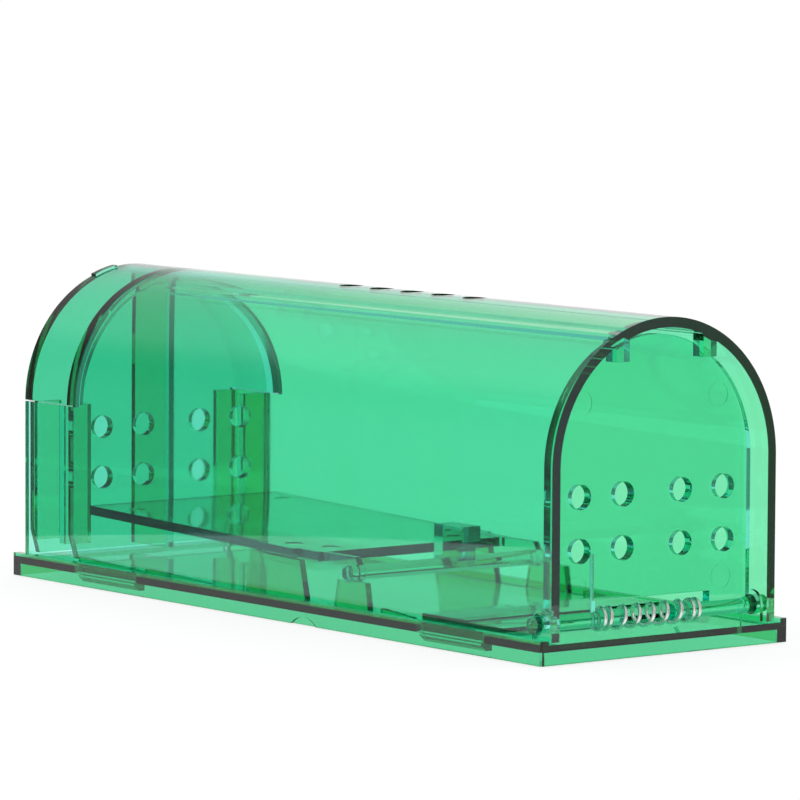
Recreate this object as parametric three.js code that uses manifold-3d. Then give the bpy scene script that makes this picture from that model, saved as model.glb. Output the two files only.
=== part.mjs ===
// Live catch trap: a see-through tunnel on a shallow tray, with a sprung drop door, a see-saw
// treadle that latches the door open, and a lift-off bait cover at the rear.
//
// Millimetres, +Z up, +X towards the door end. The origin is under the middle of the tray, on the
// surface that the trap stands on. Lengths along the trap are written from the tray's rear end and
// turned into X by along().

import * as THREE from 'three';
import { mergeVertices } from 'three/addons/utils/BufferGeometryUtils.js';
import Module from 'manifold-3d';

// ---- driving dimensions -------------------------------------------------------------------------

const LENGTH = 176;
const WIDTH = 61.5;
const HEIGHT = 64.5;

const GAP = 0.3; // clearance kept between faces that rest on each other
const CUT = 1; // how far a cutting tool runs past the face it cuts
const EMBED = 0.5; // how far a joined piece runs into the one that it stands on
const ARC_STEPS = 30; // facets on a half circle of the tunnel
const HOLE_STEPS = 16;
const PIN_STEPS = 20;

const TRAY = {
  height: 4.7,
  wall: 1.6,
  lip: 1.8, // a low lip stands along each side, and the ends are open
  plateBottom: 2.4,
  floor: 3.9,
  corner: 0.4,
};

const SHELL = {
  outer: 27.9, // half width, and radius of the arched roof
  wall: 2,
  rear: 0.5,
  front: 175.4,
  coverEnd: 18.6, // the bait cover takes the place of the roof back to here
};
SHELL.inner = SHELL.outer - SHELL.wall;
SHELL.spring = HEIGHT - SHELL.outer; // height where the side walls turn into the roof
SHELL.bottom = TRAY.floor + GAP;

const AIR_HOLE = 4.8;
const HOLE_ACROSS = [-17.9, -7.25, 7.25, 17.9];

const ROOF_HOLES = { first: 76.8, pitch: 10, count: 5 };

// snap tabs under the side walls, and the slots that they click into
const SNAPS = [
  { start: 21.2, end: 43.2 },
  { start: 136.2, end: 157.2 },
];
const SLOT = { inner: 25.5, outer: 28.2 };
const SNAP_HOOK = { top: TRAY.plateBottom - GAP, bottom: 0.6, toe: 0.6, nose: 0.3, reach: 0.7, endGap: 1 };

// ribs on the side walls, between the cover's two walls, that keep the cover in its place
const GUIDE = { ranges: [[2.6, 4], [11.9, 14.1]], tip: 20, bottom: 7.5 };

const AXLE = {
  x: 171.4,
  z: 7.3,
  radius: 1.5,
  reach: 29.3, // the thicker ends stand out of the side walls
  endRadius: 1.7,
  endLength: 7,
  bore: 1.95,
};
const AXLE_PAD = { radius: 2.9, thickness: 0.7 };
const DOOR = {
  front: 171.9,
  thickness: 2,
  radius: 24.4,
  bottom: 8.3,
  notch: 14.3,
  notchTop: 10.8,
  rows: [20.5, 30.8],
  stubEnds: [-7.6, 5],
};
const STOP = { inner: 9.2, outer: 12.5, rear: DOOR.front + GAP + 0.1, bottom: 56.4 };

const SPRING = {
  wire: 0.75,
  outer: 4.9,
  near: -13.7,
  far: 11.1,
  turns: 9,
  closeTurns: 1.5, // close wound at each end
  closePitch: 1.4,
  doorArmTop: 19.6,
  lead: Math.PI / 4, // the last turn stops this short, where it heads down and rearward
  stepsPerTurn: 14,
  sides: 4,
};

const PIVOT = { x: 110, z: 10.8, radius: 1.5, reach: 25.3, seat: 1.8 };
const TREADLE = {
  rear: 20.2,
  front: 99.2,
  topRear: 16.05,
  slope: -0.028,
  thickness: 1.9,
  halfWidth: 24,
  lug: { start: 79.8, end: 92.4, halfWidth: 25.2 },
};
const ARM = {
  inner: 21.9,
  outer: 23.3,
  rear: 79.6,
  top: 13.9,
  depth: 1.5, // how far the arm hangs below the treadle
  boss: 1.9,
  waist: [98.5, 10],
  neck: [107.5, 11.2],
  tip: [111, 12.4],
};
const HOOK = {
  halfWidth: 2.3,
  rear: 108.5,
  front: 116,
  nose: 117.5,
  bottom: 10.9,
  chamfer: 1.5,
  noseUnder: 14.9,
  top: 19.1,
};

const STAND = { inner: 23.6, outer: 25 };
const REST_STAND = { top: [77.8, 94.1], bottom: [76.2, 96.2] };
const PIVOT_STAND = { top: [106.7, 115.6], bottom: [105.4, 116.6], height: 9.35 };
const FLOOR_RIBS = [
  { start: 18, end: 41.3, height: 1.3 },
  { start: 41.9, end: 63.7, height: 1.1 },
  { start: 121, end: 131, height: 1.1 },
];
const FLOOR_RIB = { inner: 24.2, outer: 25.3, toe: 0.3 };
const LANDING = { rear: 132, step: 146, front: 157, halfWidth: 23.6, rearRise: 1.3, frontRise: 0.9 };

// the cover hangs two walls across the tunnel, with a fin between them. The front one is the
// perforated wall that the bait is smelt through.
const COVER = {
  back: [0.5, 1.9],
  baffle: [14.5, 16.4],
  rows: [21.3, 31.9],
  wallHalf: 25.5,
  wallBottom: 4.5,
  taper: { half: 24.1, top: 9.5 },
  lipRadius: 24.6,
  finHalf: 1,
  finBottom: 5.2,
};
const THUMB_TAB = { from: -11, to: -5.5, depth: 1.7, proud: 0.5 };

// ---- helpers ------------------------------------------------------------------------------------

const wasm = await Module();
wasm.setup();

const along = (fromRear) => fromRear - LENGTH / 2;

/** A closed three.js geometry as a solid that can be joined and cut. */
function toSolid(geometry) {
  const bare = geometry.clone();
  bare.deleteAttribute('normal');
  bare.deleteAttribute('uv');
  const merged = mergeVertices(bare, 1e-5);
  return new wasm.Manifold(new wasm.Mesh({
    numProp: 3,
    vertProperties: new Float32Array(merged.attributes.position.array),
    triVerts: new Uint32Array(merged.index.array),
  }));
}

/** A solid back as a three.js mesh. */
function toMesh(name, solid, material) {
  const { vertProperties, triVerts } = solid.getMesh();
  const geometry = new THREE.BufferGeometry();
  geometry.setAttribute('position', new THREE.BufferAttribute(new Float32Array(vertProperties), 3));
  geometry.setIndex(new THREE.BufferAttribute(new Uint32Array(triVerts), 1));
  geometry.computeVertexNormals();
  const mesh = new THREE.Mesh(geometry, material);
  mesh.name = name;
  return mesh;
}

const join = (solids) => solids.reduce((sum, next) => sum.add(next));
const cut = (solid, tools) => tools.reduce((left, tool) => left.subtract(tool), solid);

/** A box between two lengths, two widths and two heights. */
function box([x0, x1], [y0, y1], [z0, z1]) {
  const geometry = new THREE.BoxGeometry(x1 - x0, y1 - y0, z1 - z0);
  geometry.translate(along((x0 + x1) / 2), (y0 + y1) / 2, (z0 + z1) / 2);
  return toSolid(geometry);
}

/** A cylinder across the trap, on a line of constant length and height. */
function acrossCylinder(x, z, radius, [y0, y1], steps = PIN_STEPS) {
  const geometry = new THREE.CylinderGeometry(radius, radius, y1 - y0, steps);
  geometry.translate(along(x), (y0 + y1) / 2, z);
  return toSolid(geometry);
}

/** A cylinder along the trap. */
function alongCylinder(y, z, radius, [x0, x1], steps = HOLE_STEPS) {
  const geometry = new THREE.CylinderGeometry(radius, radius, x1 - x0, steps);
  geometry.rotateZ(Math.PI / 2);
  geometry.translate(along((x0 + x1) / 2), y, z);
  return toSolid(geometry);
}

/** A side profile, given as [length, height] points, extruded across the trap. */
function sideProfile(points, [y0, y1]) {
  const shape = new THREE.Shape(points.map(([x, z]) => new THREE.Vector2(along(x), z)));
  const geometry = new THREE.ExtrudeGeometry(shape, { depth: y1 - y0, bevelEnabled: false });
  geometry.rotateX(Math.PI / 2);
  geometry.translate(0, y1, 0);
  return toSolid(geometry);
}

/** An end profile, a shape in [y, z], extruded along the trap. */
function endProfile(shape, [x0, x1]) {
  const options = { depth: x1 - x0, bevelEnabled: false, curveSegments: ARC_STEPS };
  const geometry = new THREE.ExtrudeGeometry(shape, options);
  geometry.rotateX(Math.PI / 2);
  geometry.rotateZ(Math.PI / 2);
  geometry.translate(along(x0), 0, 0);
  return toSolid(geometry);
}

/** Straight sides from bottom up to the springing, then a half circle. */
function archShape(radius, bottom) {
  const shape = new THREE.Shape();
  shape.moveTo(-radius, bottom);
  shape.lineTo(radius, bottom);
  shape.lineTo(radius, SHELL.spring);
  shape.absarc(0, SHELL.spring, radius, 0, Math.PI, false);
  shape.lineTo(-radius, bottom);
  return shape;
}

/** The same solid on both sides of the trap's centre plane. */
const bothSides = (make) => [make(1), make(-1)];
const span = (side, inner, outer) => (side > 0 ? [inner, outer] : [-outer, -inner]);

const airHoles = (rows, range) => rows.flatMap((z) =>
  HOLE_ACROSS.map((y) => alongCylinder(y, z, AIR_HOLE / 2, range)));

// ---- materials ----------------------------------------------------------------------------------

function clearPlastic(color) {
  return new THREE.MeshStandardMaterial({
    color, roughness: 0.08, metalness: 0, transparent: true, opacity: 0.45,
  });
}
const steel = new THREE.MeshStandardMaterial({ color: 0xb9b6b2, roughness: 0.25, metalness: 1 });

// ---- base tray ----------------------------------------------------------------------------------

function baseTray() {
  const hx = LENGTH / 2;
  const hy = WIDTH / 2;
  const r = TRAY.corner;
  const outline = new THREE.Shape();
  outline.absarc(hx - r, hy - r, r, 0, Math.PI / 2, false);
  outline.absarc(-hx + r, hy - r, r, Math.PI / 2, Math.PI, false);
  outline.absarc(-hx + r, -hy + r, r, Math.PI, 1.5 * Math.PI, false);
  outline.absarc(hx - r, -hy + r, r, 1.5 * Math.PI, 2 * Math.PI, false);
  const block = toSolid(new THREE.ExtrudeGeometry(outline, {
    depth: TRAY.height, bevelEnabled: false, curveSegments: 6,
  }));

  const { wall, lip, plateBottom, floor, height } = TRAY;
  const underside = box([wall, LENGTH - wall], [wall - hy, hy - wall], [-CUT, plateBottom]);
  const recess = box([-CUT, LENGTH + CUT], [lip - hy, hy - lip], [floor, height + CUT]);
  const slots = SNAPS.flatMap(({ start, end }) => bothSides((side) =>
    box([start, end], span(side, SLOT.inner, SLOT.outer), [TRAY.plateBottom - CUT, TRAY.floor + CUT])));
  const dish = cut(block, [underside, recess, ...slots]);

  const sunk = TRAY.floor - EMBED;
  const treadleUnder = (x) => treadleTop(x) - TREADLE.thickness - GAP;
  const restStand = (side) => sideProfile([
    [REST_STAND.bottom[0], sunk],
    [REST_STAND.bottom[1], sunk],
    [REST_STAND.top[1], treadleUnder(REST_STAND.top[1])],
    [REST_STAND.top[0], treadleUnder(REST_STAND.top[0])],
  ], span(side, STAND.inner, STAND.outer));
  const pivotStand = (side) => cut(sideProfile([
    [PIVOT_STAND.bottom[0], sunk],
    [PIVOT_STAND.bottom[1], sunk],
    [PIVOT_STAND.top[1], PIVOT_STAND.height],
    [PIVOT_STAND.top[0], PIVOT_STAND.height],
  ], span(side, STAND.inner, STAND.outer)), [
    acrossCylinder(PIVOT.x, PIVOT.z, PIVOT.seat, span(side, STAND.inner - CUT, STAND.outer + CUT)),
  ]);
  const floorRib = ({ start, end, height }) => (side) => sideProfile([
    [start, sunk],
    [end, sunk],
    [end, TRAY.floor + FLOOR_RIB.toe],
    [start, TRAY.floor + height],
  ], span(side, FLOOR_RIB.inner, FLOOR_RIB.outer));
  const landing = sideProfile([
    [LANDING.rear, sunk],
    [LANDING.front, sunk],
    [LANDING.front, TRAY.floor + LANDING.frontRise],
    [LANDING.step, TRAY.floor + LANDING.frontRise],
    [LANDING.step, TRAY.floor + LANDING.rearRise],
    [LANDING.rear, TRAY.floor + LANDING.rearRise],
  ], [-LANDING.halfWidth, LANDING.halfWidth]);

  return join([
    dish,
    ...bothSides(restStand),
    ...bothSides(pivotStand),
    ...FLOOR_RIBS.flatMap((rib) => bothSides(floorRib(rib))),
    landing,
  ]);
}

// ---- tunnel shell -------------------------------------------------------------------------------

function tunnelShell() {
  const tube = cut(endProfile(archShape(SHELL.outer, SHELL.bottom), [SHELL.rear, SHELL.front]), [
    endProfile(archShape(SHELL.inner, SHELL.bottom - CUT), [SHELL.rear - CUT, SHELL.front + CUT]),
    box([-CUT, SHELL.coverEnd + GAP], [-WIDTH, WIDTH], [SHELL.spring, HEIGHT + CUT]),
  ]);

  const guide = (range) => (side) => (
    box(range, span(side, GUIDE.tip, SHELL.inner + EMBED), [GUIDE.bottom, SHELL.spring])
  );
  const axlePad = (side) => {
    const range = span(side, SHELL.inner - AXLE_PAD.thickness, SHELL.inner + EMBED);
    return join([
      acrossCylinder(AXLE.x, AXLE.z, AXLE_PAD.radius, range),
      box([AXLE.x - AXLE_PAD.radius, AXLE.x + AXLE_PAD.radius], range, [SHELL.bottom, AXLE.z]),
    ]);
  };
  const doorStop = (side) => {
    const block = box([STOP.rear, SHELL.front], span(side, STOP.inner, STOP.outer), [STOP.bottom, HEIGHT]);
    return block.intersect(endProfile(archShape(SHELL.inner + EMBED, 0), [STOP.rear, SHELL.front]));
  };
  const snapTab = ({ start, end }) => (side) => {
    const { top, bottom, toe, nose, reach, endGap } = SNAP_HOOK;
    const shape = new THREE.Shape([
      new THREE.Vector2(side * SHELL.inner, SHELL.bottom + EMBED),
      new THREE.Vector2(side * SHELL.inner, bottom),
      new THREE.Vector2(side * (SHELL.outer - toe), bottom),
      new THREE.Vector2(side * (SHELL.outer + reach), top - nose),
      new THREE.Vector2(side * (SHELL.outer + reach), top),
      new THREE.Vector2(side * SHELL.outer, top),
      new THREE.Vector2(side * SHELL.outer, SHELL.bottom + EMBED),
    ]);
    return endProfile(shape, [start + endGap, end - endGap]);
  };

  const roofHoles = Array.from({ length: ROOF_HOLES.count }, (_, i) => {
    const hole = new THREE.CylinderGeometry(AIR_HOLE / 2, AIR_HOLE / 2, 4 * SHELL.wall, HOLE_STEPS);
    hole.rotateX(Math.PI / 2);
    hole.translate(along(ROOF_HOLES.first + i * ROOF_HOLES.pitch), 0, HEIGHT);
    return toSolid(hole);
  });
  const axleBore = acrossCylinder(AXLE.x, AXLE.z, AXLE.bore, [-WIDTH, WIDTH]);

  return cut(join([
    tube,
    ...GUIDE.ranges.flatMap((range) => bothSides(guide(range))),
    ...bothSides(axlePad),
    ...bothSides(doorStop),
    ...SNAPS.flatMap((snap) => bothSides(snapTab(snap))),
  ]), [...roofHoles, axleBore]);
}

// ---- door ---------------------------------------------------------------------------------------

function door() {
  const rear = DOOR.front - DOOR.thickness;
  const panel = cut(endProfile(archShape(DOOR.radius, DOOR.bottom), [rear, DOOR.front]), [
    box([rear - CUT, DOOR.front + CUT], [-DOOR.notch, DOOR.notch], [DOOR.bottom - CUT, DOOR.notchTop]),
    ...airHoles(DOOR.rows, [rear - CUT, DOOR.front + CUT]),
  ]);
  const stubs = [
    acrossCylinder(AXLE.x, AXLE.z, AXLE.radius, [-AXLE.reach, DOOR.stubEnds[0]]),
    acrossCylinder(AXLE.x, AXLE.z, AXLE.radius, [DOOR.stubEnds[1], AXLE.reach]),
  ];
  const ends = bothSides((side) =>
    acrossCylinder(AXLE.x, AXLE.z, AXLE.endRadius, span(side, AXLE.reach - AXLE.endLength, AXLE.reach)));
  return join([panel, ...stubs, ...ends]);
}

// ---- door spring --------------------------------------------------------------------------------

/** Centre line of the torsion spring: door arm, coil on the axle, floor arm. */
class SpringLine extends THREE.Curve {
  constructor() {
    super();
    this.radius = (SPRING.outer - SPRING.wire) / 2;
    const behindDoor = along(DOOR.front - DOOR.thickness - GAP - SPRING.wire / 2);
    const onFloor = TRAY.floor + GAP + SPRING.wire / 2;
    const start = this.coilPoint(0);
    const end = this.coilPoint(1);
    this.armTop = new THREE.Vector3(behindDoor, start.y, SPRING.doorArmTop);
    this.start = start;
    this.end = end;
    const drop = end.z - onFloor;
    const lead = drop / Math.tan(SPRING.lead);
    this.floorEnd = new THREE.Vector3(end.x - lead, end.y, onFloor);
    const arms = [this.armTop.distanceTo(start), this.end.distanceTo(this.floorEnd)];
    const coil = SPRING.turns * 2 * Math.PI * this.radius;
    const total = arms[0] + coil + arms[1];
    this.split = [arms[0] / total, (arms[0] + coil) / total];
  }

  /** Where the coil is at a share k of its turns. It takes over from the door arm at its rear side. */
  coilPoint(k) {
    const turn = k * SPRING.turns;
    const angle = Math.PI + turn * 2 * Math.PI - k * SPRING.lead;
    const close = SPRING.closeTurns * SPRING.closePitch;
    const open = (SPRING.far - SPRING.near - 2 * close) / (SPRING.turns - 2 * SPRING.closeTurns);
    let y = SPRING.near;
    if (turn < SPRING.closeTurns) {
      y += turn * SPRING.closePitch;
    } else if (turn < SPRING.turns - SPRING.closeTurns) {
      y += close + (turn - SPRING.closeTurns) * open;
    } else {
      y = SPRING.far - (SPRING.turns - turn) * SPRING.closePitch;
    }
    const x = along(AXLE.x) + this.radius * Math.cos(angle);
    return new THREE.Vector3(x, y, AXLE.z + this.radius * Math.sin(angle));
  }

  getPoint(t, target = new THREE.Vector3()) {
    const [coilStart, coilEnd] = this.split;
    if (t < coilStart) return target.lerpVectors(this.armTop, this.start, t / coilStart);
    if (t > coilEnd) return target.lerpVectors(this.end, this.floorEnd, (t - coilEnd) / (1 - coilEnd));
    return target.copy(this.coilPoint((t - coilStart) / (coilEnd - coilStart)));
  }
}

function doorSpring() {
  const section = new THREE.Shape();
  section.absarc(0, 0, SPRING.wire / 2, 0, 2 * Math.PI, false);
  const geometry = new THREE.ExtrudeGeometry(section, {
    steps: SPRING.turns * SPRING.stepsPerTurn,
    curveSegments: SPRING.sides,
    extrudePath: new SpringLine(),
  });
  return toSolid(geometry);
}

// ---- treadle ------------------------------------------------------------------------------------

/** Height of the treadle's upper face at a length, as it rests on its stands. */
function treadleTop(x) {
  return TREADLE.topRear + TREADLE.slope * (x - TREADLE.rear);
}

function treadle() {
  const { rear, front, thickness, halfWidth, lug } = TREADLE;
  const slab = (x0, x1, half) => sideProfile([
    [x0, treadleTop(x0) - thickness],
    [x1, treadleTop(x1) - thickness],
    [x1, treadleTop(x1)],
    [x0, treadleTop(x0)],
  ], [-half, half]);
  const arm = (side) => join([
    sideProfile([
      [ARM.rear, treadleTop(ARM.rear) - thickness - ARM.depth],
      ARM.waist,
      ARM.neck,
      [PIVOT.x, PIVOT.z],
      ARM.tip,
      [PIVOT.x, ARM.top],
      [front, ARM.top],
      [ARM.rear, treadleTop(ARM.rear) - EMBED],
    ], span(side, ARM.inner, ARM.outer)),
    acrossCylinder(PIVOT.x, PIVOT.z, ARM.boss, span(side, ARM.inner, ARM.outer)),
  ]);
  const hook = sideProfile([
    [HOOK.rear, HOOK.bottom + HOOK.chamfer],
    [HOOK.rear + HOOK.chamfer, HOOK.bottom],
    [HOOK.front, HOOK.bottom],
    [HOOK.front, HOOK.noseUnder],
    [HOOK.nose, HOOK.noseUnder],
    [HOOK.nose, HOOK.top],
    [HOOK.rear, HOOK.top],
  ], [-HOOK.halfWidth, HOOK.halfWidth]);
  const rod = acrossCylinder(PIVOT.x, PIVOT.z, PIVOT.radius, [-PIVOT.reach, PIVOT.reach]);
  return join([
    slab(rear, front, halfWidth),
    slab(lug.start, lug.end, lug.halfWidth),
    ...bothSides(arm),
    hook,
    rod,
  ]);
}

// ---- rear cover ---------------------------------------------------------------------------------

/** A wall across the bait chamber. It fills the arched roof, and its lower corners slant in. */
function coverWall(range) {
  const { wallHalf, wallBottom, taper } = COVER;
  const edge = SHELL.spring + GAP;
  const lower = endProfile(new THREE.Shape([
    new THREE.Vector2(-taper.half, wallBottom),
    new THREE.Vector2(taper.half, wallBottom),
    new THREE.Vector2(wallHalf, taper.top),
    new THREE.Vector2(wallHalf, edge + CUT),
    new THREE.Vector2(-wallHalf, edge + CUT),
    new THREE.Vector2(-wallHalf, taper.top),
  ]), range);
  const upper = endProfile(archShape(SHELL.inner + EMBED, 0), range)
    .intersect(box([-CUT, LENGTH], [-WIDTH, WIDTH], [edge, HEIGHT]));
  return join([lower, upper]);
}

function rearCover() {
  const { back, baffle, lipRadius, finHalf, finBottom, rows } = COVER;
  const range = [SHELL.rear, SHELL.coverEnd];
  const edge = SHELL.spring + GAP;
  const above = box([-CUT, LENGTH], [-WIDTH, WIDTH], [edge, HEIGHT + CUT]);
  const hollow = (radius) => endProfile(archShape(radius, -CUT), [-CUT, SHELL.coverEnd + CUT]);
  const arch = cut(endProfile(archShape(SHELL.outer, 0), range), [hollow(SHELL.inner)]).intersect(above);
  const lip = cut(endProfile(archShape(SHELL.inner + EMBED, 0), [baffle[1] - EMBED, SHELL.coverEnd]), [
    hollow(lipRadius),
  ]).intersect(above);
  const fin = box([back[1] - EMBED, baffle[0] + EMBED], [-finHalf, finHalf], [finBottom, HEIGHT])
    .intersect(endProfile(archShape(SHELL.inner + EMBED, 0), range));
  const perforated = cut(coverWall(baffle), airHoles(rows, [baffle[0] - CUT, baffle[1] + CUT]));
  const tabRange = [SHELL.rear, SHELL.rear + THUMB_TAB.depth];
  const thumbTab = cut(endProfile(archShape(SHELL.outer + THUMB_TAB.proud, 0), tabRange), [
    endProfile(archShape(SHELL.outer - EMBED, -CUT), [tabRange[0] - CUT, tabRange[1] + CUT]),
  ]).intersect(box(range, [THUMB_TAB.from, THUMB_TAB.to], [edge, HEIGHT + CUT]));
  return join([arch, lip, fin, perforated, coverWall(back), thumbTab]);
}

// ---- assembly -----------------------------------------------------------------------------------

const trap = new THREE.Group();
trap.add(
  toMesh('base_tray', baseTray(), clearPlastic(0x2fc27f)),
  toMesh('tunnel_shell', tunnelShell(), clearPlastic(0x45d08c)),
  toMesh('door', door(), clearPlastic(0x45d08c)),
  toMesh('door_spring', doorSpring(), steel),
  toMesh('pedal', treadle(), clearPlastic(0x2fa870)),
  toMesh('rear_cover', rearCover(), clearPlastic(0x45c888)),
);

export default trap;
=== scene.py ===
import math
import bmesh
import bpy
from mathutils import Matrix, Vector


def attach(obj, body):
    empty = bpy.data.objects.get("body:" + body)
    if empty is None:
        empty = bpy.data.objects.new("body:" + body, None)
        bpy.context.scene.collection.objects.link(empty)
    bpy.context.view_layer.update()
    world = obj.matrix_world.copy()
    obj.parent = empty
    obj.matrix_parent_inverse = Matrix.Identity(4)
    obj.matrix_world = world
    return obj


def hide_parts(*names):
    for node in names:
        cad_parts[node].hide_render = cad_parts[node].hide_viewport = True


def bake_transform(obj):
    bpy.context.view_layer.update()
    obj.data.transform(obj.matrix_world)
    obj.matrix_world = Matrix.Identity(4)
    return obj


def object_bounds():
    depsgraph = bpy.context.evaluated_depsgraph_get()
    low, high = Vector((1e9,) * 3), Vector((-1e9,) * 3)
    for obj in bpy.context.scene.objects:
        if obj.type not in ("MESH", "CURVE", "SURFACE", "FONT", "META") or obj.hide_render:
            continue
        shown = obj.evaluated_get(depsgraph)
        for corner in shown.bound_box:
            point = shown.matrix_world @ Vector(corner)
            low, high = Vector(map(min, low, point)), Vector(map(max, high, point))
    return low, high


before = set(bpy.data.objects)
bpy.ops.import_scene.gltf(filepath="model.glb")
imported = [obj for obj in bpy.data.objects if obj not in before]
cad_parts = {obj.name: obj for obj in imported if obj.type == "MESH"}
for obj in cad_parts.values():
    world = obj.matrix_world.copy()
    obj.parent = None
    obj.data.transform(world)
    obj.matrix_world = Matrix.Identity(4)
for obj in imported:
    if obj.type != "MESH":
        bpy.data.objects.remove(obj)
cad_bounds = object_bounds()

# A see-through live catch trap. Shapes are worked out in millimetres and turned into metres when a
# piece is finished. +X runs along the tunnel to the door, +Y across it, +Z up, and the origin is
# under the middle of the tray. Lengths along the trap are given from the tray's rear end.

MM = 0.001
LENGTH, WIDTH, HEIGHT = [round((cad_bounds[1][i] - cad_bounds[0][i]) / MM, 3) for i in range(3)]
GAP = 0.3  # clearance between faces that rest on each other
CUT = 1.0  # how far a cutting tool runs past a face
ARC_STEPS = 128  # facets on a half circle of the roof
HOLE_STEPS = 40
PIN_STEPS = 40
CORNER_STEPS = 8
SINK = 0.5  # how far a piece reaches into what it is joined to

# the tray
TRAY_HEIGHT = 4.7
TRAY_WALL = 1.6
TRAY_LIP = 1.8
PLATE_BOTTOM = 2.4
FLOOR = 3.9
TRAY_CORNER, HOLLOW_CORNER = 0.4, 0.6

# the tunnel shell
SHELL_OUTER, SHELL_WALL = 27.9, 2.0
SHELL_INNER = SHELL_OUTER - SHELL_WALL
SHELL_REAR = 0.5
SHELL_FRONT = 175.4
SPRINGING = HEIGHT - SHELL_OUTER
SHELL_BOTTOM = FLOOR + GAP
COVER_END = 18.6

# the air holes
AIR_HOLE = 4.8  # diameter
HOLE_ACROSS = (-17.9, -7.25, 7.25, 17.9)
FIRST_ROOF_HOLE, ROOF_HOLE_PITCH, ROOF_HOLE_COUNT = 76.8, 10, 5

# the snap hooks and their slots
SNAP_SPANS = ((21.2, 43.2), (136.2, 157.2))
SLOT_INNER, SLOT_OUTER = 25.5, 28.2
SNAP_TOP = PLATE_BOTTOM - GAP
SNAP_BOTTOM = 0.6
SNAP_REACH = 0.7
SNAP_TOE, SNAP_NOSE, SNAP_END_GAP = 0.6, 0.3, 1.0

# the rear cover and its guides
BACK_WALL = (0.5, 1.9)
BAFFLE = (14.5, 16.4)
BAFFLE_ROWS = (21.3, 31.9)
WALL_HALF, WALL_BOTTOM = 25.5, 4.5
TAPER_HALF, TAPER_TOP = 24.1, 9.5
LIP_RADIUS = 24.6
FIN_HALF, FIN_BOTTOM = 1.0, 5.2
GUIDES = ((2.6, 4.0), (11.9, 14.1))
GUIDE_TIP, GUIDE_BOTTOM = 20.0, 7.5
TAB_HEIGHT, TAB_LENGTH, TAB_ACROSS = 0.5, 1.7, (-11, -5.5)

# the door, its axle and its stops
AXLE_X, AXLE_Z, AXLE_RADIUS, AXLE_REACH = 171.4, 7.3, 1.5, 29.3
AXLE_END_RADIUS, AXLE_END_LENGTH, AXLE_BORE = 1.7, 7.0, 1.95
PAD_RADIUS, PAD_THICKNESS = 2.9, 0.7
DOOR_FRONT, DOOR_THICKNESS = 171.9, 2.0
DOOR_REAR = DOOR_FRONT - DOOR_THICKNESS
DOOR_RADIUS, DOOR_BOTTOM = 24.4, 8.3
NOTCH_HALF, NOTCH_TOP = 14.3, 10.8
DOOR_ROWS = (20.5, 30.8)
STUB_ENDS = (-7.6, 5.0)
STOP_INNER, STOP_OUTER, STOP_BOTTOM, STOP_GAP = 9.2, 12.5, 56.4, 0.4

# the door's spring
SPRING_WIRE, SPRING_OUTER = 0.75, 4.9  # diameters
SPRING_SPAN = (-13.7, 11.1)
SPRING_TURNS, CLOSE_TURNS, CLOSE_PITCH = 9, 1.5, 1.4
LEG_SLOPE = math.pi / 4  # the coil stops short by as much, so the leg leaves it without a bend
SPRING_ARM_TOP = 19.6
WIRE_SIDES, TURN_STEPS, SPRING_ARM_STEPS, SPRING_LEG_STEPS = 14, 48, 12, 8
WIRE_END_ANGLE = math.radians(60)

# the treadle
PIVOT_X, PIVOT_Z, PIVOT_RADIUS, PIVOT_REACH, PIVOT_SEAT = 110.0, 10.8, 1.5, 25.3, 1.8
TREADLE_REAR, TREADLE_FRONT = 20.2, 99.2
TREADLE_TOP_REAR, TREADLE_SLOPE, TREADLE_THICKNESS = 16.05, -0.028, 1.9
TREADLE_HALF = 24.0
LUG = (79.8, 92.4)
LUG_HALF = 25.2
ARM_INNER, ARM_OUTER, ARM_REAR, ARM_TOP, ARM_BOSS = 21.9, 23.3, 79.6, 13.9, 1.9
ARM_DEPTH, ARM_WAIST, ARM_NECK, ARM_NOSE = 1.5, (98.5, 10), (107.5, 11.2), (111, 12.4)
HOOK_HALF, HOOK_CHAMFER = 2.3, 1.5
HOOK_REAR, HOOK_FRONT, HOOK_TIP = 108.5, 116, 117.5
HOOK_BOTTOM, HOOK_CATCH, HOOK_TOP = 10.9, 14.9, 19.1

# what stands on the tray's floor
STAND_INNER, STAND_OUTER = 23.6, 25.0
REST_FOOT, REST_HEAD = (76.2, 96.2), (77.8, 94.1)
SEAT_FOOT, SEAT_HEAD, SEAT_TOP = (105.4, 116.6), (106.7, 115.6), 9.35
RIBS = ((18, 41.3, 1.3), (41.9, 63.7, 1.1), (121, 131, 1.1))  # rear end, front end, height at the rear
RIB_INNER, RIB_OUTER, RIB_FRONT_HEIGHT = 24.2, 25.3, 0.3
LANDING_REAR, LANDING_STEP, LANDING_FRONT = 132, 146, 157
LANDING_HIGH, LANDING_LOW, LANDING_HALF = 1.3, 0.9, 23.6

# the marks of moulding
GATE_X, GATE_Z, GATE_RADIUS, GATE_DEPTH, GATE_STEPS = 101.7, -4.4, 6, 0.5, 48
MARK_DEPTH = 0.12  # ejector marks
DOOR_MARK_RADIUS, DOOR_MARKS = 2.4, ((-17.0, 48.5), (17.0, 48.5), (18.0, 13.2), (-18.0, 13.2))
TREADLE_MARK_RADIUS, TREADLE_MARKS = 1.9, ((86.5, 20.5), (94, 17), (30, 19))  # each on both sides

# the edges
EDGE, TREADLE_EDGE, DOOR_EDGE = 0.22, 0.18, 0.15  # how far they are rounded
SHARP = math.radians(32)  # bends above this are edges
LEVEL = math.radians(0.3)  # bends below this are flat
SAME_PLACE = 0.002  # points closer than this are one

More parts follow.
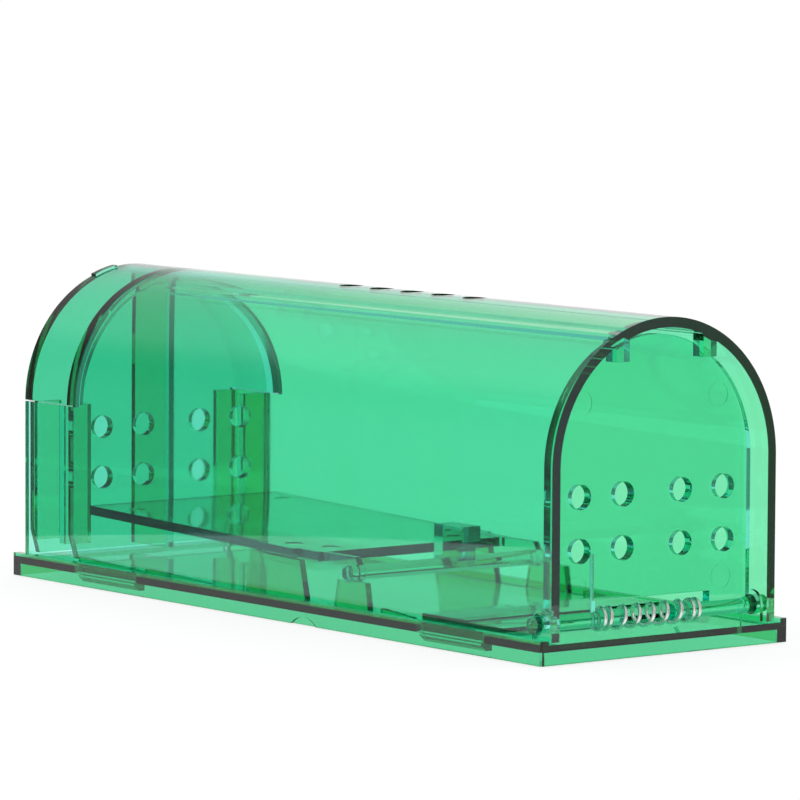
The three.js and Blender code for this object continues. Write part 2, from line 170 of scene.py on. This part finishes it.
# the light and the floor
BACKDROP = 1.02  # brightness of the backdrop, where 1 is white
DIM_TOWARDS = (0.785, 0.612, 0)
DIM_SIDES = ((1, 0.9), (-1, 0.75))  # this way or the other way, and how much of the light is taken off
DIM_FROM, DIM_FULL = 0.78, 0.95  # cosines of the angles where the dimming starts and is complete
OVERHEAD_RISE, OVERHEAD_LIGHT = (0.03, 0.45), 0.6  # sines of the heights between which it dims
CLEAR_BOUNCES, GLOSS_BOUNCES = 40, 16
FLOOR_RADIUS, FLOOR_DROP = 0.16, 0.0002  # in metres
FLOOR_STEPS = 96
FLOOR_WHITE, FLOOR_GLOW = 0.4, 0.79


# ---- camera, light and floor ---------------------------------------------------------------------

def place_camera():
    """A long lens, from the near side and the door's end, just above the trap's middle."""
    azimuth, elevation, roll = math.radians(52.10), math.radians(5.29), math.radians(0.30)
    aim = Vector((1.1, 3.0, 41.9)) * MM
    distance = 1.2105
    back = Vector((
        math.sin(azimuth) * math.cos(elevation),
        -math.cos(azimuth) * math.cos(elevation),
        math.sin(elevation),
    ))
    right = Vector((math.cos(azimuth), math.sin(azimuth), 0))
    up = back.cross(right)
    turned_right = right * math.cos(roll) + up * math.sin(roll)
    turned_up = up * math.cos(roll) - right * math.sin(roll)
    data = bpy.data.cameras.new("photo_camera")
    data.sensor_width = 36
    data.lens = 269.95
    data.clip_start = 0.05
    data.clip_end = 60
    camera = bpy.data.objects.new("photo_camera", data)
    camera.matrix_world = Matrix((
        (turned_right.x, turned_up.x, back.x, aim.x + back.x * distance),
        (turned_right.y, turned_up.y, back.y, aim.y + back.y * distance),
        (turned_right.z, turned_up.z, back.z, aim.z + back.z * distance),
        (0, 0, 0, 1),
    ))
    bpy.context.scene.collection.objects.link(camera)
    bpy.context.scene.camera = camera


def light_scene():
    """A white tent all round, a little darker overhead, with a dim stretch on each side of the
    camera's line of sight."""
    world = bpy.data.worlds.new("light_tent")
    world.use_nodes = True
    nodes, links = world.node_tree.nodes, world.node_tree.links
    direction = nodes.new("ShaderNodeTexCoord").outputs["Generated"]
    strength = BACKDROP
    for side, dimming in DIM_SIDES:
        facing = nodes.new("ShaderNodeVectorMath")
        facing.operation = "DOT_PRODUCT"
        facing.inputs[1].default_value = [side * part for part in DIM_TOWARDS]
        links.new(direction, facing.inputs[0])
        towards = facing.outputs["Value"]
        taken_off = spread(nodes, links, towards, (DIM_FROM, DIM_FULL), (0, dimming), smooth=True)
        strength = calculate(nodes, links, "SUBTRACT", strength, taken_off)
    height = split_vector(nodes, links, direction).outputs["Z"]
    overhead = spread(nodes, links, height, OVERHEAD_RISE, (1, OVERHEAD_LIGHT), smooth=True)
    strength = calculate(nodes, links, "MULTIPLY", strength, overhead)
    background = nodes["Background"]
    background.inputs["Color"].default_value = (1, 1, 1, 1)
    links.new(strength, background.inputs["Strength"])
    scene = bpy.context.scene
    scene.world = world
    scene.view_settings.view_transform = "Standard"
    scene.cycles.max_bounces = CLEAR_BOUNCES
    scene.cycles.transmission_bounces = CLEAR_BOUNCES
    scene.cycles.transparent_max_bounces = CLEAR_BOUNCES
    scene.cycles.glossy_bounces = GLOSS_BOUNCES


def lay_floor():
    """A disc of pale paper under the trap, lit up enough to pass into the backdrop."""
    bm = bmesh.new()
    bmesh.ops.create_circle(bm, cap_ends=True, segments=FLOOR_STEPS, radius=FLOOR_RADIUS)
    data = bpy.data.meshes.new("floor")
    bm.to_mesh(data)
    bm.free()
    floor = bpy.data.objects.new("floor", data)
    floor.location.z = -FLOOR_DROP
    bpy.context.scene.collection.objects.link(floor)
    material, _, _, shader = new_material("floor_paper")
    shader.inputs["Roughness"].default_value = 0.9
    shader.inputs["Specular IOR Level"].default_value = 0
    shader.inputs["Base Color"].default_value = (FLOOR_WHITE, FLOOR_WHITE, FLOOR_WHITE, 1)
    shader.inputs["Emission Color"].default_value = (1, 1, 1, 1)
    shader.inputs["Emission Strength"].default_value = FLOOR_GLOW
    floor.data.materials.append(material)


# ---- materials -----------------------------------------------------------------------------------

NOISE_SPAN = (0.35, 0.7)  # where most of a noise's values lie
CLOUDINESS = 0.12
# painted shade: towards the rear end the tint moves this share towards the far tint, taking part of the
# near wall's painted reflection off
REAR_TINT_SPAN, REAR_TINT_SHARE = (-74, -71), 0.36
END_FACING = (0.8, 0.95)  # X parts of the normals of faces that look towards the door's end
THIN_DYE = (0.30, 0.03, 0.05)  # what the dye takes off red, green and blue in a millimetre
THICK_DYE = (0.30, 0.06, 0.06)
STRONGEST_DYE = 0.95  # share taken off the colour that the dye takes off most


def new_material(name):
    material = bpy.data.materials.new(name)
    material.use_nodes = True
    nodes, links = material.node_tree.nodes, material.node_tree.links
    return material, nodes, links, nodes["Principled BSDF"]


def spread(nodes, links, value, span, result, smooth=False):
    """Turns a value within a span into one within the result's span."""
    node = nodes.new("ShaderNodeMapRange")
    if smooth:
        node.interpolation_type = "SMOOTHSTEP"
    node.inputs["From Min"].default_value, node.inputs["From Max"].default_value = span
    node.inputs["To Min"].default_value, node.inputs["To Max"].default_value = result
    links.new(value, node.inputs["Value"])
    return node.outputs["Result"]


def calculate(nodes, links, operation, *terms):
    """A sum with numbers and with what other nodes give."""
    node = nodes.new("ShaderNodeMath")
    node.operation = operation
    for socket, term in zip(node.inputs, terms):
        if isinstance(term, (int, float)):
            socket.default_value = term
        else:
            links.new(term, socket)
    return node.outputs["Value"]


def split_vector(nodes, links, vector):
    node = nodes.new("ShaderNodeSeparateXYZ")
    links.new(vector, node.inputs["Vector"])
    return node


def mix_tints(nodes, links, share, first, second):
    """Goes from the first colour to the second as the share goes from 0 to 1."""
    node = nodes.new("ShaderNodeValToRGB")
    for stop, tint in zip(node.color_ramp.elements, (first, second)):
        stop.color = (*tint, 1)
    links.new(share, node.inputs["Fac"])
    return node.outputs["Color"]


def noise(nodes, links, scale, detail, stretch=(1, 1, 1)):
    """Noise fixed to the piece, stretched along its axes. Its scale is in features per metre."""
    place = nodes.new("ShaderNodeTexCoord")
    mapping = nodes.new("ShaderNodeMapping")
    mapping.inputs["Scale"].default_value = stretch
    texture = nodes.new("ShaderNodeTexNoise")
    texture.inputs["Scale"].default_value = scale
    texture.inputs["Detail"].default_value = detail
    links.new(place.outputs["Object"], mapping.inputs["Vector"])
    links.new(mapping.outputs["Vector"], texture.inputs["Vector"])
    return texture.outputs["Fac"]


def vary_roughness(nodes, links, shader, pattern, low, high):
    """Roughness that follows a noise, between two values."""
    links.new(spread(nodes, links, pattern, NOISE_SPAN, (low, high)), shader.inputs["Roughness"])


def add_bumps(nodes, links, shader, height, strength, distance):
    bump = nodes.new("ShaderNodeBump")
    bump.inputs["Strength"].default_value = strength
    bump.inputs["Distance"].default_value = distance
    links.new(height, bump.inputs["Height"])
    links.new(bump.outputs["Normal"], shader.inputs["Normal"])


def plastic_tint(nodes, links, place, near_tint, far_tint):
    """A slightly cloudy tint, which goes from near to far across the piece. Where the near tint is
    lighter and bluer than the far one, as on the shell, that difference is a painted reflection of
    the tent on the near wall. At the rear end it starts part of the way, a painted shade that takes
    part of that painted reflection off again."""
    split = split_vector(nodes, links, place.outputs["Object"])
    side, rear = SHELL_OUTER * MM, [x * MM for x in REAR_TINT_SPAN]
    across = spread(nodes, links, split.outputs["Y"], (-side, side), (0, 1))
    # painted shade at the rear end, where the tint moves part of the way towards the far tint
    rear_end = spread(nodes, links, split.outputs["X"], rear, (REAR_TINT_SHARE, 0))
    even = calculate(nodes, links, "ADD", across, rear_end)
    clouds = noise(nodes, links, scale=70, detail=3)
    share = calculate(nodes, links, "MULTIPLY_ADD", clouds, CLOUDINESS, even)
    return mix_tints(nodes, links, share, near_tint, far_tint)


def dye_through(nodes, links, absorbed):
    """Takes light off all along its way through the plastic."""
    density = max(absorbed) / MM / STRONGEST_DYE
    dye = nodes.new("ShaderNodeVolumeAbsorption")
    dye.inputs["Color"].default_value = [1 - a / MM / density for a in absorbed] + [1]
    dye.inputs["Density"].default_value = density
    links.new(dye.outputs["Volume"], nodes["Material Output"].inputs["Volume"])


def clear_plastic(name, near_tint, far_tint, flow=(1, 1, 1), painted_end_light=0, absorbed=THIN_DYE):
    """Clear moulded plastic, dyed through. The tints are what light keeps on its way through a wall,
    at the -Y and the +Y side of the piece; where the near tint is lighter than the far one, it also
    holds a painted reflection. flow stretches the faint waves that the melt left.
    The end share turns the faces that look towards the door's end partly milky in the tint: painted
    light that lightens them."""
    material, nodes, links, shader = new_material(name)
    shader.inputs["Transmission Weight"].default_value = 1
    shader.inputs["IOR"].default_value = 1.5
    place = nodes.new("ShaderNodeTexCoord")
    # painted light: faces that look towards the door's end let less light through and show the tint,
    # which lightens them
    if painted_end_light:
        facing = split_vector(nodes, links, place.outputs["Normal"]).outputs["X"]
        clear = spread(nodes, links, facing, END_FACING, (1, 1 - painted_end_light))
        links.new(clear, shader.inputs["Transmission Weight"])
    links.new(plastic_tint(nodes, links, place, near_tint, far_tint), shader.inputs["Base Color"])
    smears = noise(nodes, links, scale=55, detail=5)
    vary_roughness(nodes, links, shader, smears, low=0, high=0.05)
    waves = noise(nodes, links, scale=60, detail=1, stretch=flow)
    add_bumps(nodes, links, shader, waves, strength=0.08, distance=0.2 * MM)
    dye_through(nodes, links, absorbed)
    return material


def spring_wire(name):
    """Bright drawn steel, with fine lines along the draw and a little tarnish."""
    material, nodes, links, shader = new_material(name)
    shader.inputs["Metallic"].default_value = 1
    tarnish = noise(nodes, links, scale=900, detail=4)
    tone = mix_tints(nodes, links, tarnish, first=(0.72, 0.71, 0.70), second=(0.98, 0.98, 0.97))
    links.new(tone, shader.inputs["Base Color"])
    drawn = noise(nodes, links, scale=4000, detail=2, stretch=(1, 0.1, 1))
    vary_roughness(nodes, links, shader, drawn, low=0.22, high=0.4)
    add_bumps(nodes, links, shader, drawn, strength=0.1, distance=0.02 * MM)
    return material


# ---- solids --------------------------------------------------------------------------------------

def along(from_rear):
    return from_rear - LENGTH / 2


def object_from(bm):
    bmesh.ops.recalc_face_normals(bm, faces=bm.faces)
    data = bpy.data.meshes.new("solid")
    bm.to_mesh(data)
    bm.free()
    solid = bpy.data.objects.new("solid", data)
    bpy.context.scene.collection.objects.link(solid)
    return solid


def prism(outline, place, start, end):
    """An outline of 2-D points, extruded. place(u, v, w) gives the 3-D point at depth w."""
    bm = bmesh.new()
    first = [bm.verts.new(place(u, v, start)) for u, v in outline]
    last = [bm.verts.new(place(u, v, end)) for u, v in outline]
    count = len(outline)
    bm.faces.new(first)
    bm.faces.new(last)
    for i in range(count):
        j = (i + 1) % count
        bm.faces.new((first[i], first[j], last[j], last[i]))
    return object_from(bm)


def side_profile(outline, across):
    """[length, height] points, extruded across the trap."""
    return prism(outline, lambda x, z, y: (along(x), y, z), *across)


def end_profile(outline, lengths):
    """[width, height] points, extruded along the trap."""
    return prism(outline, lambda y, z, x: (along(x), y, z), *lengths)


def plan_profile(outline, heights):
    """[x, y] points from the trap's middle, extruded upwards."""
    return prism(outline, lambda x, y, z: (x, y, z), *heights)


def box(lengths, across, heights):
    corners = [(lengths[i], across[j]) for i, j in ((0, 0), (1, 0), (1, 1), (0, 1))]
    return prism(corners, lambda x, y, z: (along(x), y, z), *heights)


def circle(radius, steps, centre=(0, 0)):
    turns = [2 * math.pi * i / steps for i in range(steps)]
    return [(centre[0] + radius * math.cos(t), centre[1] + radius * math.sin(t)) for t in turns]


def across_cylinder(x, z, radius, across):
    return side_profile(circle(radius, PIN_STEPS, (x, z)), across)


def along_cylinder(y, z, radius, lengths):
    return end_profile(circle(radius, HOLE_STEPS, (y, z)), lengths)


def arch(radius, bottom):
    """Straight sides from bottom up to the springing, then a half circle."""
    angles = [math.pi * i / ARC_STEPS for i in range(ARC_STEPS + 1)]
    curve = [(radius * math.cos(a), SPRINGING + radius * math.sin(a)) for a in angles]
    return [(-radius, bottom), (radius, bottom)] + curve


def combine(solid, tools, operation):
    """Joins, cuts or trims a solid by each tool in turn. The tools are used up."""
    for tool in tools:
        modifier = solid.modifiers.new("combine", "BOOLEAN")
        modifier.operation = operation
        modifier.solver = "MANIFOLD"
        modifier.object = tool
        bpy.context.view_layer.update()
        combined = solid.evaluated_get(bpy.context.evaluated_depsgraph_get())
        result = bpy.data.meshes.new_from_object(combined)
        solid.modifiers.clear()
        solid.data = result
        bpy.data.objects.remove(tool)
    return solid


def join(solids):
    return combine(solids[0], solids[1:], "UNION")


def cut(solid, tools):
    return combine(solid, tools, "DIFFERENCE")


def trim(solid, tool):
    return combine(solid, [tool], "INTERSECT")


def span(side, inner, outer):
    """From inner to outer on the +Y side or the -Y side."""
    return (inner, outer) if side > 0 else (-outer, -inner)


def air_holes(rows, lengths):
    return [along_cylinder(y, z, AIR_HOLE / 2, lengths) for z in rows for y in HOLE_ACROSS]


def soften(solid, radius):
    """Rounds the outer edges, as moulding and handling leave them, and shades the curves smooth."""
    bm = bmesh.new()
    bm.from_mesh(solid.data)
    bmesh.ops.remove_doubles(bm, verts=bm.verts, dist=SAME_PLACE)
    bmesh.ops.dissolve_limit(bm, angle_limit=LEVEL, verts=bm.verts, edges=bm.edges)
    edges = [e for e in bm.edges if e.is_manifold and e.is_convex and e.calc_face_angle(0) > SHARP]
    bmesh.ops.bevel(
        bm, geom=edges, offset=radius, offset_type="OFFSET", segments=2, profile=0.5,
        affect="EDGES", clamp_overlap=True, loop_slide=True,
    )
    bmesh.ops.recalc_face_normals(bm, faces=bm.faces)
    bm.to_mesh(solid.data)
    bm.free()
    solid.data.shade_smooth()
    solid.data.set_sharp_from_angle(angle=SHARP)
    modifier = solid.modifiers.new("even_shading", "WEIGHTED_NORMAL")
    modifier.keep_sharp = True
    modifier.mode = "FACE_AREA"


def finish_piece(solid, name, material, body, node):
    """Turns millimetres into metres and puts the piece in the place of its CAD node. A piece that is
    blended between two bodies has no body here."""
    solid.name = name
    solid.data.name = name
    solid.data.transform(Matrix.Scale(MM, 4))
    solid.data.materials.clear()
    solid.data.materials.append(material)
    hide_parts(node)
    if body:
        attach(solid, body)


# ---- base tray -----------------------------------------------------------------------------------

def treadle_top(x):
    return TREADLE_TOP_REAR + TREADLE_SLOPE * (x - TREADLE_REAR)


def rounded_rectangle(half_x, half_y, radius):
    points = []
    for corner, (sx, sy) in enumerate(((1, 1), (-1, 1), (-1, -1), (1, -1))):
        for i in range(CORNER_STEPS + 1):
            angle = math.pi / 2 * (corner + i / CORNER_STEPS)
            points.append((
                sx * (half_x - radius) + radius * math.cos(angle),
                sy * (half_y - radius) + radius * math.sin(angle),
            ))
    return points


def trapezium(foot, head, low, top_at):
    """The side view of a stand, whose top follows a line given by its height at each length."""
    return [(foot[0], low), (foot[1], low), (head[1], top_at(head[1])), (head[0], top_at(head[0]))]


def make_tray():
    half_x, half_y = LENGTH / 2, WIDTH / 2
    sunk = FLOOR - SINK
    block = rounded_rectangle(half_x, half_y, TRAY_CORNER)
    underside = rounded_rectangle(half_x - TRAY_WALL, half_y - TRAY_WALL, HOLLOW_CORNER)
    between_lips = (TRAY_LIP - half_y, half_y - TRAY_LIP)
    dish = cut(plan_profile(block, (0, TRAY_HEIGHT)), [
        plan_profile(underside, (-CUT, PLATE_BOTTOM)),
        box((-CUT, LENGTH + CUT), between_lips, (FLOOR, TRAY_HEIGHT + CUT)),
    ])
    slots = [
        box(lengths, span(side, SLOT_INNER, SLOT_OUTER), (PLATE_BOTTOM - CUT, FLOOR + CUT))
        for lengths in SNAP_SPANS for side in (1, -1)
    ]
    rest = trapezium(REST_FOOT, REST_HEAD, sunk, lambda x: treadle_top(x) - TREADLE_THICKNESS - GAP)
    seat = trapezium(SEAT_FOOT, SEAT_HEAD, sunk, lambda x: SEAT_TOP)
    raised = []
    for side in (1, -1):
        stand_y = span(side, STAND_INNER, STAND_OUTER)
        raised.append(side_profile(rest, stand_y))
        raised.append(cut(side_profile(seat, stand_y), [
            across_cylinder(PIVOT_X, PIVOT_Z, PIVOT_SEAT, (-WIDTH, WIDTH)),
        ]))
        for rear, front, height in RIBS:
            raised.append(side_profile([
                (rear, sunk), (front, sunk), (front, FLOOR + RIB_FRONT_HEIGHT), (rear, FLOOR + height),
            ], span(side, RIB_INNER, RIB_OUTER)))
    raised.append(side_profile([
        (LANDING_REAR, sunk), (LANDING_FRONT, sunk), (LANDING_FRONT, FLOOR + LANDING_LOW),
        (LANDING_STEP, FLOOR + LANDING_LOW), (LANDING_STEP, FLOOR + LANDING_HIGH),
        (LANDING_REAR, FLOOR + LANDING_HIGH),
    ], (-LANDING_HALF, LANDING_HALF)))
    gate = circle(GATE_RADIUS, GATE_STEPS, (GATE_X, GATE_Z))
    gate_mark = side_profile(gate, (-half_y - CUT, GATE_DEPTH - half_y))
    tray = cut(join([cut(dish, slots)] + raised), [gate_mark])
    soften(tray, EDGE)
    finish_piece(tray, "tray", TRAY_PLASTIC, "tunnel", "base_tray")


# ---- tunnel shell --------------------------------------------------------------------------------

def make_shell():
    tube = cut(end_profile(arch(SHELL_OUTER, SHELL_BOTTOM), (SHELL_REAR, SHELL_FRONT)), [
        end_profile(arch(SHELL_INNER, SHELL_BOTTOM - CUT), (SHELL_REAR - CUT, SHELL_FRONT + CUT)),
        box((-CUT, COVER_END + GAP), (-WIDTH, WIDTH), (SPRINGING, HEIGHT + CUT)),
    ])
    added = []
    for side in (1, -1):
        for lengths in GUIDES:
            added.append(box(
                lengths, span(side, GUIDE_TIP, SHELL_INNER + SINK), (GUIDE_BOTTOM, SPRINGING)))
        pad_y = span(side, SHELL_INNER - PAD_THICKNESS, SHELL_INNER + SINK)
        added.append(across_cylinder(AXLE_X, AXLE_Z, PAD_RADIUS, pad_y))
        added.append(box((AXLE_X - PAD_RADIUS, AXLE_X + PAD_RADIUS), pad_y, (SHELL_BOTTOM, AXLE_Z)))
        stop_x = (DOOR_FRONT + STOP_GAP, SHELL_FRONT)
        added.append(trim(
            box(stop_x, span(side, STOP_INNER, STOP_OUTER), (STOP_BOTTOM, HEIGHT)),
            end_profile(arch(SHELL_INNER + SINK, 0), stop_x)))
        for start, end in SNAP_SPANS:
            added.append(end_profile([
                (side * SHELL_INNER, SHELL_BOTTOM + SINK), (side * SHELL_INNER, SNAP_BOTTOM),
                (side * (SHELL_OUTER - SNAP_TOE), SNAP_BOTTOM),
                (side * (SHELL_OUTER + SNAP_REACH), SNAP_TOP - SNAP_NOSE),
                (side * (SHELL_OUTER + SNAP_REACH), SNAP_TOP),
                (side * SHELL_OUTER, SNAP_TOP), (side * SHELL_OUTER, SHELL_BOTTOM + SINK),
            ], (start + SNAP_END_GAP, end - SNAP_END_GAP)))
    roof = (SPRINGING, HEIGHT + CUT)
    row = [along(FIRST_ROOF_HOLE + ROOF_HOLE_PITCH * i) for i in range(ROOF_HOLE_COUNT)]
    holes = [plan_profile(circle(AIR_HOLE / 2, HOLE_STEPS, (x, 0)), roof) for x in row]
    holes.append(across_cylinder(AXLE_X, AXLE_Z, AXLE_BORE, (-WIDTH, WIDTH)))
    shell = cut(join([tube] + added), holes)
    soften(shell, EDGE)
    finish_piece(shell, "shell", SHELL_PLASTIC, "tunnel", "tunnel_shell")


# ---- door ----------------------------------------------------------------------------------------

def make_door():
    through = (DOOR_REAR - CUT, DOOR_FRONT + CUT)
    panel = cut(end_profile(arch(DOOR_RADIUS, DOOR_BOTTOM), (DOOR_REAR, DOOR_FRONT)), [
        box(through, (-NOTCH_HALF, NOTCH_HALF), (DOOR_BOTTOM - CUT, NOTCH_TOP)),
        *air_holes(DOOR_ROWS, through),
    ])
    rods = [
        (AXLE_RADIUS, (-AXLE_REACH, STUB_ENDS[0])),
        (AXLE_RADIUS, (STUB_ENDS[1], AXLE_REACH)),
        *((AXLE_END_RADIUS, span(side, AXLE_REACH - AXLE_END_LENGTH, AXLE_REACH)) for side in (1, -1)),
    ]
    door = join([panel, *(across_cylinder(AXLE_X, AXLE_Z, radius, across) for radius, across in rods)])
    cut(door, [
        along_cylinder(y, z, DOOR_MARK_RADIUS, (DOOR_REAR - CUT, DOOR_REAR + MARK_DEPTH))
        for y, z in DOOR_MARKS
    ])
    soften(door, DOOR_EDGE)
    finish_piece(door, "trap_door", DOOR_PLASTIC, "door", "door")


# ---- door spring ---------------------------------------------------------------------------------

def coil_point(share):
    """A point on the coil, whose turns lie close together at both ends."""
    radius = (SPRING_OUTER - SPRING_WIRE) / 2
    turn = share * SPRING_TURNS
    angle = math.pi + turn * 2 * math.pi - share * LEG_SLOPE
    close = CLOSE_TURNS * CLOSE_PITCH
    open_pitch = (SPRING_SPAN[1] - SPRING_SPAN[0] - 2 * close) / (SPRING_TURNS - 2 * CLOSE_TURNS)
    if turn < CLOSE_TURNS:
        y = SPRING_SPAN[0] + turn * CLOSE_PITCH
    elif turn < SPRING_TURNS - CLOSE_TURNS:
        y = SPRING_SPAN[0] + close + (turn - CLOSE_TURNS) * open_pitch
    else:
        y = SPRING_SPAN[1] - (SPRING_TURNS - turn) * CLOSE_PITCH
    return Vector((along(AXLE_X) + radius * math.cos(angle), y, AXLE_Z + radius * math.sin(angle)))


def sweep(points, radius, sides):
    """A round wire along a line of points, with closed ends."""
    bm = bmesh.new()
    rings = []
    normal = Vector((1, 0, 0))
    for i, point in enumerate(points):
        before, after = points[max(i - 1, 0)], points[min(i + 1, len(points) - 1)]
        tangent = (after - before).normalized()
        normal = (normal - tangent * normal.dot(tangent)).normalized()
        binormal = tangent.cross(normal)
        rings.append([
            bm.verts.new(point + radius * (math.cos(a) * normal + math.sin(a) * binormal))
            for a in (2 * math.pi * k / sides for k in range(sides))
        ])
    for ring, following in zip(rings, rings[1:]):
        for k in range(sides):
            m = (k + 1) % sides
            bm.faces.new((ring[k], ring[m], following[m], following[k]))
    bm.faces.new(rings[0])
    bm.faces.new(rings[-1])
    return object_from(bm)


def make_spring():
    steps = SPRING_TURNS * TURN_STEPS
    coil = [coil_point(i / steps) for i in range(steps + 1)]
    behind_door = along(DOOR_REAR - GAP - SPRING_WIRE / 2)
    top = Vector((behind_door, coil[0].y, SPRING_ARM_TOP))
    on_floor = FLOOR + GAP + SPRING_WIRE / 2
    reach = (coil[-1].z - on_floor) / math.tan(LEG_SLOPE)
    foot = Vector((coil[-1].x - reach, coil[-1].y, on_floor))
    arm = [top.lerp(coil[0], k / SPRING_ARM_STEPS) for k in range(SPRING_ARM_STEPS)]
    leg = [coil[-1].lerp(foot, k / SPRING_LEG_STEPS) for k in range(1, SPRING_LEG_STEPS + 1)]
    spring = sweep(arm + coil + leg, SPRING_WIRE / 2, WIRE_SIDES)
    spring.data.shade_smooth()
    spring.data.set_sharp_from_angle(angle=WIRE_END_ANGLE)
    finish_piece(spring, "torsion_spring", SPRING_STEEL, None, "door_spring")
    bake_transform(spring)


# ---- treadle -------------------------------------------------------------------------------------

def make_treadle():
    def slab(start, end, half):
        return side_profile([
            (start, treadle_top(start) - TREADLE_THICKNESS), (end, treadle_top(end) - TREADLE_THICKNESS),
            (end, treadle_top(end)), (start, treadle_top(start)),
        ], (-half, half))

    parts = [slab(TREADLE_REAR, TREADLE_FRONT, TREADLE_HALF), slab(*LUG, LUG_HALF)]
    arm_root = treadle_top(ARM_REAR)
    for side in (1, -1):
        arm_y = span(side, ARM_INNER, ARM_OUTER)
        parts.append(side_profile([
            (ARM_REAR, arm_root - TREADLE_THICKNESS - ARM_DEPTH), ARM_WAIST, ARM_NECK,
            (PIVOT_X, PIVOT_Z), ARM_NOSE, (PIVOT_X, ARM_TOP),
            (TREADLE_FRONT, ARM_TOP), (ARM_REAR, arm_root - SINK),
        ], arm_y))
        parts.append(across_cylinder(PIVOT_X, PIVOT_Z, ARM_BOSS, arm_y))
    parts.append(side_profile([
        (HOOK_REAR, HOOK_BOTTOM + HOOK_CHAMFER), (HOOK_REAR + HOOK_CHAMFER, HOOK_BOTTOM),
        (HOOK_FRONT, HOOK_BOTTOM), (HOOK_FRONT, HOOK_CATCH), (HOOK_TIP, HOOK_CATCH),
        (HOOK_TIP, HOOK_TOP), (HOOK_REAR, HOOK_TOP),
    ], (-HOOK_HALF, HOOK_HALF)))
    parts.append(across_cylinder(PIVOT_X, PIVOT_Z, PIVOT_RADIUS, (-PIVOT_REACH, PIVOT_REACH)))
    treadle = join(parts)
    cut(treadle, [
        plan_profile(
            circle(TREADLE_MARK_RADIUS, HOLE_STEPS, (along(x), side * y)),
            (treadle_top(x) - MARK_DEPTH, SPRINGING))
        for side in (-1, 1) for x, y in TREADLE_MARKS
    ])
    soften(treadle, TREADLE_EDGE)
    finish_piece(treadle, "treadle", PEDAL_PLASTIC, "pedal", "pedal")


# ---- rear cover ----------------------------------------------------------------------------------

def cover_wall(lengths):
    """A wall across the bait chamber. It fills the arched roof, and its lower corners slant in."""
    edge = SPRINGING + GAP
    lower = end_profile([
        (-TAPER_HALF, WALL_BOTTOM), (TAPER_HALF, WALL_BOTTOM), (WALL_HALF, TAPER_TOP),
        (WALL_HALF, edge + CUT), (-WALL_HALF, edge + CUT), (-WALL_HALF, TAPER_TOP),
    ], lengths)
    upper = trim(
        end_profile(arch(SHELL_INNER + SINK, 0), lengths),
        box((-CUT, LENGTH), (-WIDTH, WIDTH), (edge, HEIGHT)))
    return join([lower, upper])


def make_cover():
    edge = SPRINGING + GAP
    lengths = (SHELL_REAR, COVER_END)

    def above_edge(solid):
        return trim(solid, box((-CUT, LENGTH), (-WIDTH, WIDTH), (edge, HEIGHT + CUT)))

    def hollow(radius):
        return end_profile(arch(radius, -CUT), (-CUT, COVER_END + CUT))

    band = above_edge(cut(end_profile(arch(SHELL_OUTER, 0), lengths), [hollow(SHELL_INNER)]))
    lip = above_edge(cut(
        end_profile(arch(SHELL_INNER + SINK, 0), (BAFFLE[1] - SINK, COVER_END)), [hollow(LIP_RADIUS)]))
    fin = trim(
        box((BACK_WALL[1] - SINK, BAFFLE[0] + SINK), (-FIN_HALF, FIN_HALF), (FIN_BOTTOM, HEIGHT)),
        end_profile(arch(SHELL_INNER + SINK, 0), lengths))
    baffle = cut(cover_wall(BAFFLE), air_holes(BAFFLE_ROWS, (BAFFLE[0] - CUT, BAFFLE[1] + CUT)))
    tab_ring = end_profile(arch(SHELL_OUTER + TAB_HEIGHT, 0), (SHELL_REAR, SHELL_REAR + TAB_LENGTH))
    tab_place = box(lengths, TAB_ACROSS, (edge, HEIGHT + CUT))
    tab = trim(cut(tab_ring, [hollow(SHELL_OUTER - SINK)]), tab_place)
    cover = join([band, lip, fin, baffle, cover_wall(BACK_WALL), tab])
    soften(cover, EDGE)
    finish_piece(cover, "bait_cover", COVER_PLASTIC, "rear_cover", "rear_cover")


# ---- the whole trap ------------------------------------------------------------------------------

TRAY_PLASTIC = clear_plastic(
    "tray_plastic", near_tint=(0.12, 0.74, 0.34), far_tint=(0.17, 0.78, 0.38), flow=(0.3, 1, 1),
    absorbed=THICK_DYE,
)
# the shell's near tint is lighter and bluer than its far tint: a painted reflection of the tent on the
# near wall
SHELL_PLASTIC = clear_plastic(
    "shell_plastic", near_tint=(0.72, 0.99, 0.97), far_tint=(0.42, 0.92, 0.52), flow=(0.25, 1, 1),
    # painted light on the faces that look towards the door's end
    painted_end_light=0.07,
)
DOOR_PLASTIC = clear_plastic(
    "door_plastic", near_tint=(0.78, 0.95, 0.80), far_tint=(0.78, 0.94, 0.79),
)
PEDAL_PLASTIC = clear_plastic(
    "pedal_plastic", near_tint=(0.50, 0.95, 0.75), far_tint=(0.50, 0.94, 0.73), flow=(0.4, 1, 1),
    absorbed=THICK_DYE,
)
COVER_PLASTIC = clear_plastic(
    "cover_plastic", near_tint=(0.45, 0.88, 0.66), far_tint=(0.45, 0.87, 0.66), flow=(1, 1, 0.4),
)
SPRING_STEEL = spring_wire("spring_steel")

place_camera()
light_scene()
lay_floor()
make_tray()
make_shell()
make_door()
make_spring()
make_treadle()
make_cover()
